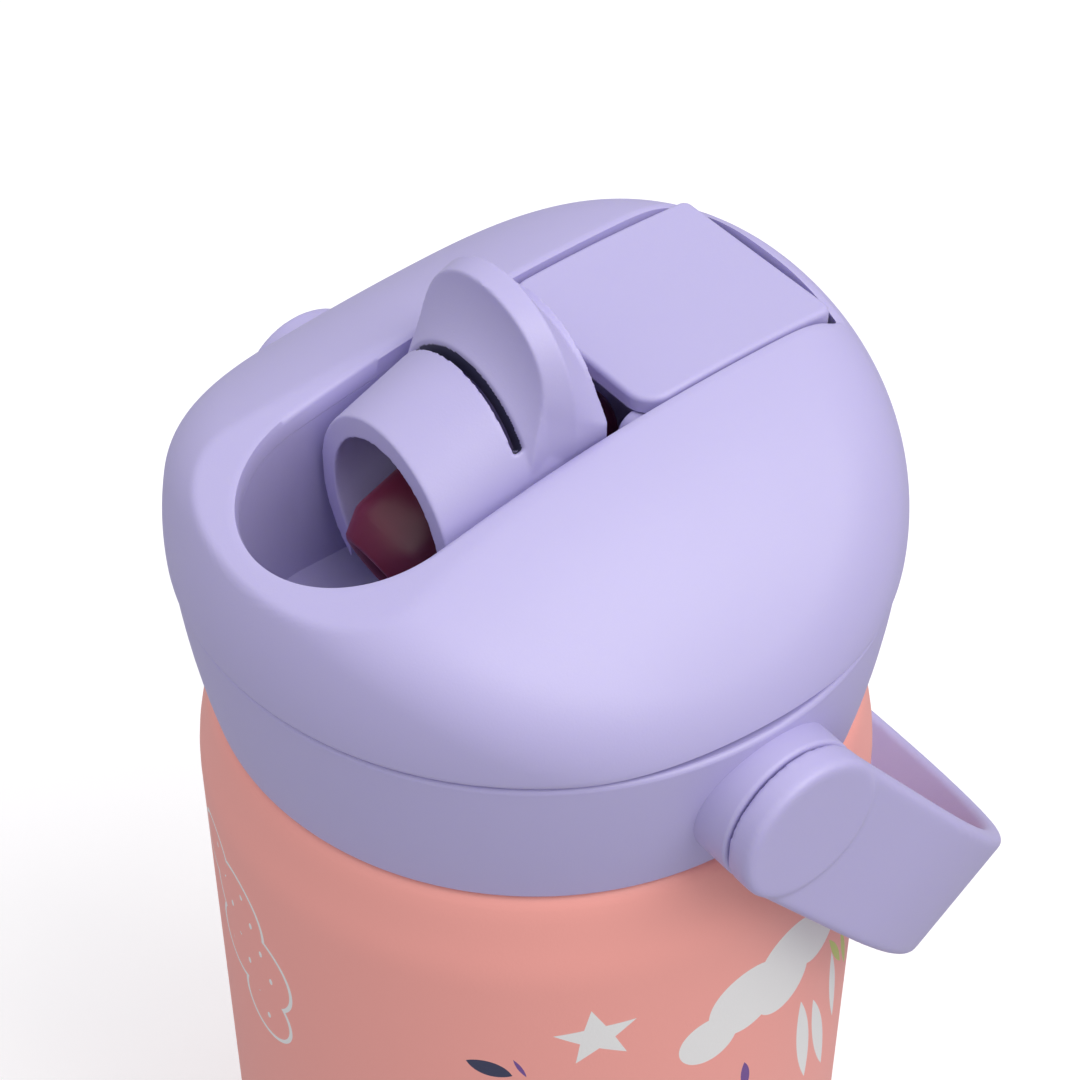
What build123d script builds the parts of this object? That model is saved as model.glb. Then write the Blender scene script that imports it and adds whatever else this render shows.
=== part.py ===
"""Kids insulated water bottle with a flip-spout lid and a swinging carry handle.

Millimetres, +Z up. The origin is the centre of the base, the handle's pivot line runs
along X over it, and the spout points to -Y. Heights inside the lid are measured from
the lower edge of its collar, which stands collar_z above the table.
"""
import os
from math import cos, radians, sin, sqrt, tan

from build123d import *

# ---------------------------------------------------------------- bottle
body_radius = 36.5  # outside of the steel wall
steel = 0.8  # sheet thickness
vacuum_gap = 1.9  # between the two walls
collar_z = 132.0  # height of the collar's lower edge above the table
shoulder_drop = 13.0  # the shoulder starts this far below the collar
shoulder_mid = (0.75, 6.0)  # how far in, and how far up, half way along the shoulder
shoulder_top = (2.1, 12.0)
foot_corner = 4.0  # rounding at the foot of the wall
foot_ring = 2.0  # width of the flat ring that the bottle stands on
shoulder_in = 5.3  # the neck stands this far in from the wall
neck_gap = 0.6  # between the two walls in the neck
lip_h = 11.0  # top of the steel lip, above the collar's lower edge
floor_gap = 5.0  # inside floor above the table
collar_rest = 0.4  # the shoulder ends this far below the collar
liner_corner = 6.0  # rounding of the inside floor
liner_shoulder = 1.0  # the liner turns in this far below the wall's shoulder
liner_taper = 2.0  # and reaches its neck this far below the collar
base_rise = 1.4  # the base plate's middle above the table
base_step = 4.0  # width of its sloping ring
seal_radius = 5.0  # disc over the hole that the vacuum is drawn through
lug_count = 3
lug_arc = 44.0  # degrees that one thread lug covers
lug_height = 2.0
lug_depth = 0.8
lug_drop = 6.0  # a neck lug's lower face, below the top of the lip

# ---------------------------------------------------------------- collar
thread_room = 1.3  # neck to collar bore, for the lugs
collar_wall = 2.07  # at the lower edge
collar_flare = 2.4  # how much wider the collar is at its top
collar_bulge = (1.58, 9.2)  # how far out, and how far up, half way
collar_h = 18.3
collar_lug_rise = 1.6  # a collar lug's lower face, above the collar's edge
seal_gap = 0.1  # gasket to lip
gasket_thick = 1.0
plate_thick = 2.0
seat_wall = 2.67  # collar wall above the ledge that carries the well plate
pivot_h = 9.0  # height of the handle's pivot line
boss_radius = 8.2
boss_reach = 2.3  # the boss stands out past the dome's rim
boss_floor = 1.6  # left behind the stud's hole
stud_play = 0.6  # end play of the stud in its hole
collar_round = 0.5
pin_radius = 2.5
running = 0.05  # radial clearance of a turning pin

# ---------------------------------------------------------------- dome
seam = 0.5  # groove between collar and dome
dome_wall = 2.2
rim_step = 0.33  # the dome's rim stands out past the collar
wall_mid = (1.7, 11.0)  # how far in, and how far up, half way up the steep wall
wall_top = (11.8, 23.2)
spigot_wall = 2.0  # ring under the dome that sits in the collar
crown_h = 40.6  # highest line of the crown
crown_y = 20.0  # where along Y it is highest
crown_long_radius = 238.0  # seen from the side
crown_fall = 20.0  # seen from the front it has dropped this far over the rim
edge_round = 4.0
band_h = 39.0  # the level band that the slot is cut through
band_y = 18.9
band_radius = 183.0
slot_half = 11.75
slot_lip = 4.8  # from the rim in to the front of the slot
slot_back = 8.5  # and to its rear
slot_edge = 0.6  # rounding of the slot's rim

# ---------------------------------------------------------------- spout well
well_wall = 1.6
well_rear = 10.5
fit_gap = 0.05  # between glued or welded pieces
panel_front = 4.5
panel_gap = 0.45
panel_thick = 1.8
panel_top_h = 38.7
panel_rise = 0.4  # the panel's underside above its posts
post_radius = 2.2
post_y = 20.0
post_x = 7.0
vent_radius = 1.6
vent_at = (0.0, 19.0)
vent_cap = 2.4  # the valve's cap, in vent radii
vent_lip = 1.5  # its lip under the plate, in vent radii

# ---------------------------------------------------------------- flip spout
hinge_y = 5.0
hinge_h = 34.0
hinge_pin_radius = 1.1
pin_seat = 1.2  # how far a pin reaches into the well's wall
hub_radius = 2.1
arm_gap = 0.55  # from the slot's side to a hinge arm
arm_thick = 2.3
spout_tilt = 23.0  # the barrel points this far below level
mouth_y = -18.2
mouth_h = 27.6
barrel_gap = 0.95  # from the slot's side to the barrel
barrel_wall = 2.2
barrel_back = -5.0  # the barrel is hollow from its mouth to here
hood_crest = (-6.2, 51.0)  # Y and height of the finger ridge's crest
hood_crest_in = 1.2  # the crest is narrower than the barrel by this much a side
hood_back = (-3.6, 51.4)  # Y and height where the ridge starts to fall away
hood_root_in = 0.8  # the ridge's root is narrower by this much a side
hood_rear_h = 45.3
hood_rear_arch = 7.0  # height of the rear gate's arch
hood_front = -8.3
finger_radius = 8.5
slit_width = 1.1
slit_half_angle = 53.0

# ---------------------------------------------------------------- silicone and straw
mouth_room = 2.6  # from the barrel's bore to the mouthpiece
mouthpiece_bore = 3.2
tip_in = (2.4, 0.7)  # how far in the rounded tip starts, and is half way round
tip_deep = (0.8, 2.6)  # how far back it is half way round, and ends
bulb_taper = 2.0  # length over which the mouthpiece narrows to the tube
bulb_clear = 3.0  # from there to the end of the barrel's hollow
bore_taper = 6.0
mouth_side = 0.6  # beside the mouthpiece, where the barrel is open below
mouth_floor_gap = 0.9  # under the mouthpiece, at its tip
mouthpiece_reach = 1.2  # how far it stands out of the barrel
tube_radius = 3.4
tube_bore = 2.3
neck_bend = 4.2
neck_split = 0.3
flange_radius = 4.3
flange_thick = 1.2
straw_radius = 3.6
straw_wall = 0.8
straw_floor_gap = 6.0
socket_wall = 1.6
socket_depth = 12.0
skirt_gap = 0.6  # from the steel mouth to the ring that centres the lid in it
skirt_deep = 5.0

# ---------------------------------------------------------------- handle
handle_droop = 52.0  # degrees below level at rest
handle_half_width = 8.2
handle_thick = 2.6
disc_gap = 0.3
disc_thick = 3.1
disc_step = 0.4  # the disc stands proud of the strap
disc_round = 0.8
disc_skin = 1.0  # left between the stud and the disc's face
arm_short = 15.3  # the arms are straight for the rim's radius less this
side_radius = 68.0
side_turn = 33.0
soft_edge = 0.9

# ---------------------------------------------------------------- worked out
neck_radius = body_radius - shoulder_in  # outside of the neck
collar_bore = neck_radius + thread_room
collar_bottom_radius = collar_bore + collar_wall
collar_top_radius = collar_bottom_radius + collar_flare
plate_seat = collar_top_radius - seat_wall
rim_radius = collar_top_radius + rim_step
boss_face = rim_radius + boss_reach
arm_straight = rim_radius - arm_short
crown_cross_radius = (rim_radius ** 2 + crown_fall ** 2) / (2 * crown_fall)
slot_front = rim_radius - slot_lip
slot_rear = rim_radius - slot_back
liner_radius = body_radius - steel - vacuum_gap
liner_neck = neck_radius - steel - neck_gap
lip_z = collar_z + lip_h
plate_z = lip_z + seal_gap + gasket_thick
plate_top = plate_z + plate_thick
collar_top = collar_z + collar_h
dome_z = collar_top + seam
pivot_z = collar_z + pivot_h
hinge_z = collar_z + hinge_h
slope = tan(radians(spout_tilt))
skirt_radius = liner_neck - steel - skirt_gap
arm_outer = slot_half - arm_gap
arm_inner = arm_outer - arm_thick
barrel_radius = slot_half - barrel_gap
mouthpiece_radius = barrel_radius - barrel_wall - mouth_room
mouth_room_below = collar_z + mouth_h - plate_top - mouth_floor_gap
mouthpiece_drop = mouth_room_below * cos(radians(spout_tilt)) - mouthpiece_radius
tube_y = neck_split + neck_bend * (1 + sin(radians(spout_tilt)))  # upright part of the silicone
corner_z = collar_z + mouth_h - mouthpiece_drop + (tube_y - mouth_y) * slope


def ring_profile(points):
    """A revolved ring whose half-section is the closed outline given."""
    with BuildPart() as ring:
        with BuildSketch(Plane.XZ):
            with BuildLine():
                Polyline(*points, close=True)
            make_face()
        revolve(axis=Axis.Z)
    return ring.part


def lugs(inner, outer, low, start):
    """Thread lugs standing between two radii, spread evenly round the axis."""
    with BuildPart() as ring:
        for turn in range(lug_count):
            middle = start + turn * 360 / lug_count
            plane = Plane.XZ.rotated((0, 0, middle - lug_arc / 2))
            with BuildSketch(plane):
                with Locations(((inner + outer) / 2, low + lug_height / 2)):
                    Rectangle(outer - inner, lug_height)
            revolve(axis=Axis.Z, revolution_arc=lug_arc)
    return ring.part


# ================================================================ bottle
with BuildPart() as outer_shell:
    with BuildSketch(Plane.XZ):
        with BuildLine():
            inner_r = body_radius - steel
            foot_r = body_radius - foot_corner
            base_r = foot_r - foot_ring
            shoulder_z = collar_z - shoulder_drop
            Line((base_r, 0), (foot_r, 0))
            RadiusArc((foot_r, 0), (body_radius, foot_corner), -foot_corner)
            Line((body_radius, foot_corner), (body_radius, shoulder_z))
            mid_in, mid_up = shoulder_mid
            top_in, top_up = shoulder_top
            ThreePointArc((body_radius, shoulder_z), (body_radius - mid_in, shoulder_z + mid_up),
                          (body_radius - top_in, shoulder_z + top_up))
            Polyline((body_radius - top_in, shoulder_z + top_up), (neck_radius, collar_z - collar_rest),
                     (neck_radius, lip_z - steel), (neck_radius - steel, lip_z - steel),
                     (neck_radius - steel, collar_z - collar_rest - steel),
                     (inner_r - top_in, shoulder_z + top_up - steel))
            ThreePointArc((inner_r - top_in, shoulder_z + top_up - steel),
                          (inner_r - mid_in, shoulder_z + mid_up - steel / 2), (inner_r, shoulder_z))
            Line((inner_r, shoulder_z), (inner_r, foot_corner))
            RadiusArc((inner_r, foot_corner), (foot_r, steel), foot_corner - steel)
            Polyline((foot_r, steel), (base_r, steel), (base_r, 0))
        make_face()
    revolve(axis=Axis.Z)
    add(lugs(neck_radius - steel / 2, neck_radius + lug_depth, lip_z - lug_drop, 30.0))

with BuildPart() as inner_liner:
    with BuildSketch(Plane.XZ):
        with BuildLine():
            corner = liner_corner
            liner_top = shoulder_z - liner_shoulder
            Polyline((0, floor_gap), (liner_radius - corner, floor_gap))
            RadiusArc((liner_radius - corner, floor_gap), (liner_radius, floor_gap + corner), -corner)
            Polyline((liner_radius, floor_gap + corner), (liner_radius, liner_top),
                     (liner_neck, collar_z - liner_taper), (liner_neck, lip_z - steel),
                     (neck_radius, lip_z - steel), (neck_radius, lip_z),
                     (liner_neck - steel, lip_z), (liner_neck - steel, collar_z - liner_taper - steel / 2),
                     (liner_radius - steel, liner_top - steel / 2),
                     (liner_radius - steel, floor_gap + corner))
            RadiusArc((liner_radius - steel, floor_gap + corner),
                      (liner_radius - corner, floor_gap + steel), corner - steel)
            Polyline((liner_radius - corner, floor_gap + steel), (0, floor_gap + steel), (0, floor_gap))
        make_face()
    revolve(axis=Axis.Z)

with BuildPart() as base_plate:
    with BuildSketch(Plane.XZ):
        with BuildLine():
            slope_out = base_r - foot_ring
            slope_in = slope_out - base_step
            Polyline((seal_radius, base_rise), (slope_in, base_rise), (slope_out, steel),
                     (foot_r, steel), (foot_r, 2 * steel), (slope_out - steel / 2, 2 * steel),
                     (slope_in - steel / 2, base_rise + steel), (seal_radius, base_rise + steel), close=True)
        make_face()
    revolve(axis=Axis.Z)

with BuildPart() as vacuum_seal:
    with BuildSketch(Plane.XY.offset(base_rise)):
        Circle(seal_radius)
    extrude(amount=steel)
    fillet(vacuum_seal.edges().group_by(Axis.Z)[0], 0.3)


def stub(side, radius, near, long, rounding):
    """A short drum along X on the handle's pivot line, with its outer edge rounded."""
    with BuildPart() as drum:
        with BuildSketch(Plane.YZ.offset(side * near)):
            with Locations((0, pivot_z)):
                Circle(radius)
        extrude(amount=side * long)
        fillet(drum.edges().sort_by(Axis.X)[-1 if side > 0 else 0], rounding)
    return drum.part


# ================================================================ lid: collar
with BuildPart() as collar_ring:
    with BuildSketch(Plane.XZ):
        with BuildLine():
            bulge, bulge_h = collar_bulge
            ThreePointArc((collar_bottom_radius, collar_z),
                          (collar_bottom_radius + bulge, collar_z + bulge_h),
                          (collar_top_radius, collar_top))
            Polyline((collar_top_radius, collar_top), (plate_seat, collar_top), (plate_seat, plate_z),
                     (collar_bore, plate_z), (collar_bore, collar_z), (collar_bottom_radius, collar_z))
        make_face()
    revolve(axis=Axis.Z)
    rims = collar_ring.edges().filter_by(GeomType.CIRCLE).group_by(Axis.Z)
    fillet([rims[0].sort_by(SortBy.RADIUS)[-1], rims[-1].sort_by(SortBy.RADIUS)[-1]], collar_round)
    for side in (1, -1):
        add(stub(side, boss_radius, collar_bore - 1, boss_face - collar_bore + 1, collar_round))
    with BuildSketch(Plane.XY.offset(collar_z - 1)):
        Circle(collar_bore)
    extrude(amount=plate_z - collar_z + 1, mode=Mode.SUBTRACT)
    with BuildSketch(Plane.XY.offset(plate_z)):
        Circle(plate_seat)
    extrude(amount=collar_top - plate_z + 1, mode=Mode.SUBTRACT)
    for side in (1, -1):
        with BuildSketch(Plane.YZ.offset(side * boss_face)):
            with Locations((0, pivot_z)):
                Circle(pin_radius + running)
        extrude(amount=-side * (boss_face - collar_bore - boss_floor), mode=Mode.SUBTRACT)
    add(lugs(collar_bore - lug_depth, collar_bore + 0.5, collar_z + collar_lug_rise, 90.0))


# ================================================================ lid: dome
def dome_form(inset, rounding):
    """Everything under the dome's skin, drawn in by inset all round."""
    ring_z = collar_z + crown_h - crown_long_radius  # the crown turns about this line
    cross = crown_cross_radius - inset
    half = 0.96 * cross
    crown_low = crown_long_radius - inset
    crown_side = crown_low - cross + sqrt(cross ** 2 - half ** 2)
    mid_r, top_r = rim_radius - wall_mid[0], rim_radius - wall_top[0]
    form_top, spare = dome_z + wall_top[1], 8.0  # the crown cuts off what is spare
    with BuildPart() as form:
        with BuildSketch(Plane.XZ):
            with BuildLine():
                Polyline((0, form_top + spare), (0, dome_z), (rim_radius - inset, dome_z))
                ThreePointArc((rim_radius - inset, dome_z), (mid_r - inset, dome_z + wall_mid[1]),
                              (top_r - inset, form_top))
                Polyline((top_r - inset, form_top), (top_r - inset - spare, form_top + spare),
                         (0, form_top + spare))
            make_face()
        revolve(axis=Axis.Z)
        with BuildSketch(Plane.XZ.offset(-crown_y)):
            with BuildLine():
                ThreePointArc((-half, ring_z - crown_side), (0, ring_z - crown_low),
                              (half, ring_z - crown_side))
                Polyline((half, ring_z - crown_side), (half, ring_z - crown_side + 20),
                         (-half, ring_z - crown_side + 20), (-half, ring_z - crown_side))
            make_face()
        revolve(axis=Axis((0, crown_y, ring_z), (1, 0, 0)), mode=Mode.INTERSECT)
        if rounding:
            fillet([e for e in form.edges() if e.bounding_box().min.Z > dome_z + 0.5], rounding)
        with BuildSketch(Plane.YZ):
            with Locations((band_y, collar_z + band_h - band_radius)):
                Circle(band_radius - inset)
        extrude(amount=2 * rim_radius, both=True, mode=Mode.INTERSECT)
    return form.part


def slot_outline(grow, rear):
    """The slot seen from above: straight sides, half-round front, square rear."""
    half = slot_half + grow
    front_centre = slot_half - slot_front
    with BuildLine() as outline:
        Polyline((half, front_centre), (half, rear), (-half, rear), (-half, front_centre))
        RadiusArc((-half, front_centre), (half, front_centre), -half)
    return outline.line


def slot_prism(grow, rear, low, high):
    """The slot's outline as an upright block."""
    with BuildPart() as prism:
        with BuildSketch(Plane.XY.offset(low)):
            with BuildLine():
                add(slot_outline(grow, rear))
            make_face()
        extrude(amount=high - low)
    return prism.part


above = collar_z + 60.0
post_top = collar_z + panel_top_h - panel_thick - panel_rise
with BuildPart() as dome_cover:
    add(dome_form(0, edge_round))
    add(slot_prism(0, slot_rear, dome_z + 3, above), mode=Mode.SUBTRACT)
    fillet([e for e in dome_cover.edges() if e.bounding_box().size.Z < wall_mid[1]
            and e.bounding_box().min.Z > dome_z + 3 + slot_edge
            and max(abs(e.bounding_box().min.X), abs(e.bounding_box().max.X)) < slot_half + 0.02], slot_edge)
    add(dome_form(dome_wall, 0), mode=Mode.SUBTRACT)
    add(ring_profile([(plate_seat - fit_gap, plate_top), (plate_seat - fit_gap, dome_z),
                      (rim_radius - dome_wall + 0.6, dome_z), (rim_radius - dome_wall + 0.6, dome_z + 1.4),
                      (plate_seat - spigot_wall, dome_z + 1.4),
                      (plate_seat - spigot_wall, plate_top)]))
    add(slot_prism(0, slot_rear, dome_z + 3, above), mode=Mode.SUBTRACT)
    add(slot_prism(well_wall + fit_gap, well_rear + well_wall + fit_gap, plate_top - 1, dome_z + 3),
        mode=Mode.SUBTRACT)

with BuildPart() as spout_well:
    with BuildSketch(Plane.XY.offset(plate_z)):
        Circle(plate_seat - fit_gap)
    extrude(amount=plate_thick)
    add(slot_prism(well_wall, well_rear + well_wall, plate_top, above))
    add(slot_prism(0, well_rear, plate_top, above), mode=Mode.SUBTRACT)
    with Locations(*[(x, post_y, plate_top) for x in (post_x, -post_x)]):
        Cylinder(post_radius, post_top - plate_top, align=(Align.CENTER, Align.CENTER, Align.MIN))
    add(ring_profile([(0, plate_z), (plate_seat - fit_gap, plate_z), (plate_seat - fit_gap, dome_z),
                      (0, dome_z)]) + dome_form(dome_wall + fit_gap, 0), mode=Mode.INTERSECT)
    add(slot_prism(0, slot_rear, post_top, above), mode=Mode.SUBTRACT)
    with Locations((0, tube_y, plate_z)):
        Cylinder(tube_radius, 4 * plate_thick, mode=Mode.SUBTRACT)
    with Locations((vent_at[0], vent_at[1], plate_z)):
        Cylinder(vent_radius, 4 * plate_thick, mode=Mode.SUBTRACT)
    add(ring_profile([(skirt_radius, plate_z - skirt_deep), (skirt_radius, plate_z),
                      (skirt_radius - well_wall, plate_z),
                      (skirt_radius - well_wall, plate_z - skirt_deep)]))
    with BuildSketch(Plane.XY.offset(plate_z - socket_depth)):
        with Locations((0, tube_y)):
            Circle(straw_radius + socket_wall)
            Circle(straw_radius, mode=Mode.SUBTRACT)
    extrude(amount=socket_depth)
    for side in (1, -1):
        with BuildSketch(Plane.YZ.offset(side * (slot_half + well_wall))):
            with Locations((hinge_y, hinge_z)):
                Circle(hinge_pin_radius)
        extrude(amount=-side * 2 * well_wall, mode=Mode.SUBTRACT)

with BuildPart() as rear_panel:
    panel_rear = slot_rear - panel_gap
    panel_half = slot_half - panel_gap
    with BuildSketch(Plane.XY.offset(plate_top)) as outline:
        with Locations((0, (panel_front + panel_rear) / 2)):
            Rectangle(2 * panel_half, panel_rear - panel_front)
        fillet(outline.vertices().group_by(Axis.Y)[0], 3.0)
        fillet(outline.vertices().group_by(Axis.Y)[-1], 1.0)
    extrude(amount=above - plate_top)
    with BuildSketch(Plane.YZ):
        with Locations((band_y, collar_z + panel_top_h - band_radius)):
            Circle(band_radius)
            Circle(band_radius - panel_thick, mode=Mode.SUBTRACT)
    extrude(amount=slot_half, both=True, mode=Mode.INTERSECT)
    fillet(rear_panel.faces().sort_by(Axis.Z)[-1].edges(), 0.6)

with BuildPart() as lid_gasket:
    add(ring_profile([(skirt_radius + fit_gap, plate_z - gasket_thick), (skirt_radius + fit_gap, plate_z),
                      (collar_bore - 0.2, plate_z), (collar_bore - 0.2, plate_z - gasket_thick)]))
    fillet(lid_gasket.edges().group_by(Axis.Z)[0], 0.25)

with BuildPart() as vent_valve:
    vent_x, vent_y = vent_at
    with Locations((vent_x, vent_y, plate_z - 1.0)):
        Cylinder(vent_radius, plate_thick + 1.0, align=(Align.CENTER, Align.CENTER, Align.MIN))
    with Locations((vent_x, vent_y, plate_top)):
        Cylinder(vent_cap * vent_radius, 0.8, align=(Align.CENTER, Align.CENTER, Align.MIN))
    with Locations((vent_x, vent_y, plate_z - 1.0)):
        Cylinder(vent_lip * vent_radius, 1.0, align=(Align.CENTER, Align.CENTER, Align.MIN))

with BuildPart() as straw:
    with BuildSketch(Plane.XY.offset(floor_gap + steel + straw_floor_gap)):
        with Locations((0, tube_y)):
            Circle(straw_radius)
            Circle(straw_radius - straw_wall, mode=Mode.SUBTRACT)
    extrude(amount=plate_z - floor_gap - steel - straw_floor_gap)

joiner_low = plate_z - socket_depth
with BuildPart() as straw_joiner:
    with BuildSketch(Plane.XY.offset(joiner_low)):
        with Locations((0, tube_y)):
            Circle(straw_radius - straw_wall)
    extrude(amount=socket_depth)
    with BuildSketch(Plane.XY.offset(plate_z)):
        with Locations((0, tube_y)):
            Circle(tube_bore)
    extrude(amount=plate_thick + flange_thick)
    with BuildSketch(Plane.XY.offset(joiner_low)):
        with Locations((0, tube_y)):
            Circle(tube_bore - 0.7)
    extrude(amount=2 * socket_depth, mode=Mode.SUBTRACT)


# ================================================================ flip spout
def half_space(y_front, y_rear):
    """A block that keeps only what lies between two upright planes."""
    with BuildPart() as block:
        with Locations((0, (y_front + y_rear) / 2, hinge_z)):
            Box(80, y_rear - y_front, 120)
    return block.part


def tilted(drop):
    """The plane across the barrel at its mouth, facing up its axis, lowered by drop."""
    return Plane(origin=(0, mouth_y, collar_z + mouth_h - drop), x_dir=(1, 0, 0),
                 z_dir=(0, cos(radians(spout_tilt)), sin(radians(spout_tilt))))


def rod(radius, drop, y_front, y_rear):
    """A round bar on the barrel's slope, cut off upright at both ends."""
    with BuildPart() as bar:
        with BuildSketch(tilted(drop)):
            Circle(radius)
        extrude(amount=60, both=True)
        add(half_space(y_front, y_rear), mode=Mode.INTERSECT)
    return bar.part


def arch(half, spring, top):
    """A gate shape: foot as wide as the barrel and an arched top, heights over the collar."""
    foot = collar_z + hood_foot
    Polyline((-half, collar_z + spring), (-barrel_radius, foot), (barrel_radius, foot),
             (half, collar_z + spring))
    ThreePointArc((half, collar_z + spring), (0, collar_z + top), (-half, collar_z + spring))


hood_foot = 30.0
spare_cut = 5.0  # how far a cut runs past what it removes
rear_spring = hood_rear_h - hood_rear_arch
crest_y, crest_h = hood_crest
crest_half = barrel_radius - hood_crest_in
root_half = barrel_radius - hood_root_in
root_h = mouth_h + barrel_radius / cos(radians(spout_tilt)) + (hood_front - mouth_y) * slope
root_drop = barrel_radius / cos(radians(spout_tilt)) * (1 - sqrt(1 - (root_half / barrel_radius) ** 2))
root_radius = (root_half ** 2 + root_drop ** 2) / (2 * root_drop)
scoop_z = collar_z + root_h - root_radius  # the finger scoop turns about this level line

back_y, back_h = hood_back
gates = [  # Y, half width, foot of the arch, top of the arch
    (hood_front, crest_half, crest_h - crest_half, crest_h),
    (crest_y, crest_half, crest_h - crest_half, crest_h),
    (back_y, barrel_radius, back_h - barrel_radius, back_h),
    (0, arm_outer, rear_spring, hood_rear_h),
]

with BuildPart() as flip_spout:
    for gate_y, half, spring, top in gates:
        with BuildSketch(Plane.XZ.offset(-gate_y)):
            with BuildLine():
                arch(half, spring, top)
            make_face()
    loft(ruled=True)
    with BuildSketch(Plane.YZ):
        with BuildLine():
            root = (hood_front, scoop_z + root_radius)
            crest = (crest_y, collar_z + crest_h)
            RadiusArc(root, crest, -finger_radius)
            clear_y, clear_z = mouth_y - spare_cut, crest[1] + spare_cut
            Polyline(crest, (crest_y, clear_z), (clear_y, clear_z), (clear_y, root[1]), root)
        make_face()
    revolve(axis=Axis((0, 0, scoop_z), (0, 1, 0)), mode=Mode.SUBTRACT)
    add(rod(barrel_radius, 0, mouth_y, 0))
    add(rod(barrel_radius - barrel_wall, 0, mouth_y - 1, barrel_back), mode=Mode.SUBTRACT)
    with Locations((0, (mouth_y + barrel_back - spare_cut) / 2, collar_z + mouth_h - barrel_radius)):
        Box(2 * (mouthpiece_radius + mouth_side), barrel_back - mouth_y + spare_cut,
            2 * barrel_radius, mode=Mode.SUBTRACT)
    add(rod(tube_radius + fit_gap, mouthpiece_drop, barrel_back - 1, 1), mode=Mode.SUBTRACT)
    slit_y = hood_front - slit_width
    slit_z = collar_z + mouth_h + (slit_y - mouth_y) * slope
    with BuildSketch(Plane.XZ.offset(-slit_y)) as slit:
        with BuildLine():
            reach = 2 * barrel_radius
            side = reach * sin(radians(slit_half_angle))
            up = reach * cos(radians(slit_half_angle))
            Polyline((0, slit_z), (side, slit_z + up), (-side, slit_z + up), (0, slit_z))
        make_face()
        with Locations((0, slit_z)):
            Circle(barrel_radius + 2, mode=Mode.INTERSECT)
            Circle(barrel_radius - barrel_wall - 1, mode=Mode.SUBTRACT)
    extrude(amount=-slit_width, mode=Mode.SUBTRACT)
    for side in (1, -1):
        with BuildSketch(Plane.YZ.offset(side * arm_inner)):
            with BuildLine():
                Polyline((-2.0, hinge_z - 5.5), (-2.0, hinge_z - 1.0), (hinge_y, hinge_z - 1.0),
                         (hinge_y + hub_radius / 2, hinge_z - hub_radius * sqrt(3) / 2), close=True)
            make_face()
            with Locations((hinge_y, hinge_z)):
                Circle(hub_radius)
        extrude(amount=side * (arm_outer - arm_inner))
        with BuildSketch(Plane.YZ.offset(side * arm_outer)):
            with Locations((hinge_y, hinge_z)):
                Circle(hinge_pin_radius + running)
        extrude(amount=-side * (arm_outer - arm_inner), mode=Mode.SUBTRACT)


def hinge_pin(side):
    """A short steel pin from the well's wall into the spout's arm, seated a little inside the wall."""
    with BuildPart() as pin:
        with BuildSketch(Plane.YZ.offset(side * arm_inner)):
            with Locations((hinge_y, hinge_z)):
                Circle(hinge_pin_radius)
        extrude(amount=side * (slot_half + pin_seat - arm_inner))
    return pin


hinge_pin_right = hinge_pin(1)
hinge_pin_left = hinge_pin(-1)

axial = Plane(origin=tilted(mouthpiece_drop).origin, x_dir=tilted(0).z_dir, z_dir=(1, 0, 0))
with BuildPart() as mouthpiece:
    with BuildSketch(axial):
        tip = -mouthpiece_reach
        bulb_end = (barrel_back - mouth_y) / cos(radians(spout_tilt)) - bulb_clear
        tail = 30.0  # past the plane that the tube is cut off at
        with BuildLine():
            Polyline((tip, mouthpiece_bore), (tip, mouthpiece_radius - tip_in[0]))
            ThreePointArc((tip, mouthpiece_radius - tip_in[0]),
                          (tip + tip_deep[0], mouthpiece_radius - tip_in[1]),
                          (tip + tip_deep[1], mouthpiece_radius))
            Polyline((tip + tip_deep[1], mouthpiece_radius), (bulb_end - bulb_taper, mouthpiece_radius),
                     (bulb_end, tube_radius), (tail, tube_radius), (tail, tube_bore),
                     (tip + bore_taper, tube_bore), (tip, mouthpiece_bore))
        make_face()
    revolve(axis=Axis(axial.origin, axial.x_dir))
    add(half_space(mouth_y - 10, 0), mode=Mode.INTERSECT)

with BuildPart() as mouthpiece_neck:
    with BuildLine() as bend:
        FilletPolyline((0, -2, corner_z - (tube_y + 2) * slope), (0, tube_y, corner_z),
                       (0, tube_y, plate_z), radius=neck_bend)
    with BuildSketch(bend.line ^ 0):
        Circle(tube_radius)
        Circle(tube_bore, mode=Mode.SUBTRACT)
    sweep()
    add(half_space(neck_split, 40), mode=Mode.INTERSECT)
    with BuildSketch(Plane.XY.offset(plate_top)):
        with Locations((0, tube_y)):
            Circle(flange_radius)
            Circle(tube_radius - 0.4, mode=Mode.SUBTRACT)
    extrude(amount=flange_thick)


# ================================================================ handle
lean = radians(handle_droop)
bail_plane = Plane(origin=(0, 0, pivot_z), x_dir=(1, 0, 0), z_dir=(0, sin(lean), cos(lean)))
disc_face = boss_face + disc_gap


def bail_half(outer_half, side_r):
    """Right half of the bail's outline, from its arm to the middle of its nose."""
    turn = radians(side_turn)
    nose = side_r + (outer_half - side_r) / cos(turn)
    bend_x = outer_half - side_r + side_r * cos(turn)
    bend_u = arm_straight + side_r * sin(turn)
    nose_u = bend_u + nose * (1 - sin(turn))
    return nose, bend_x, bend_u, nose_u


def bail_outline(outer_half, side_r):
    nose, bend_x, bend_u, nose_u = bail_half(outer_half, side_r)
    Line((outer_half, 0), (outer_half, arm_straight))
    RadiusArc((outer_half, arm_straight), (bend_x, bend_u), -side_r)
    ThreePointArc((bend_x, bend_u), (0, nose_u), (-bend_x, bend_u))
    RadiusArc((-bend_x, bend_u), (-outer_half, arm_straight), -side_r)
    Line((-outer_half, arm_straight), (-outer_half, 0))


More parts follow.
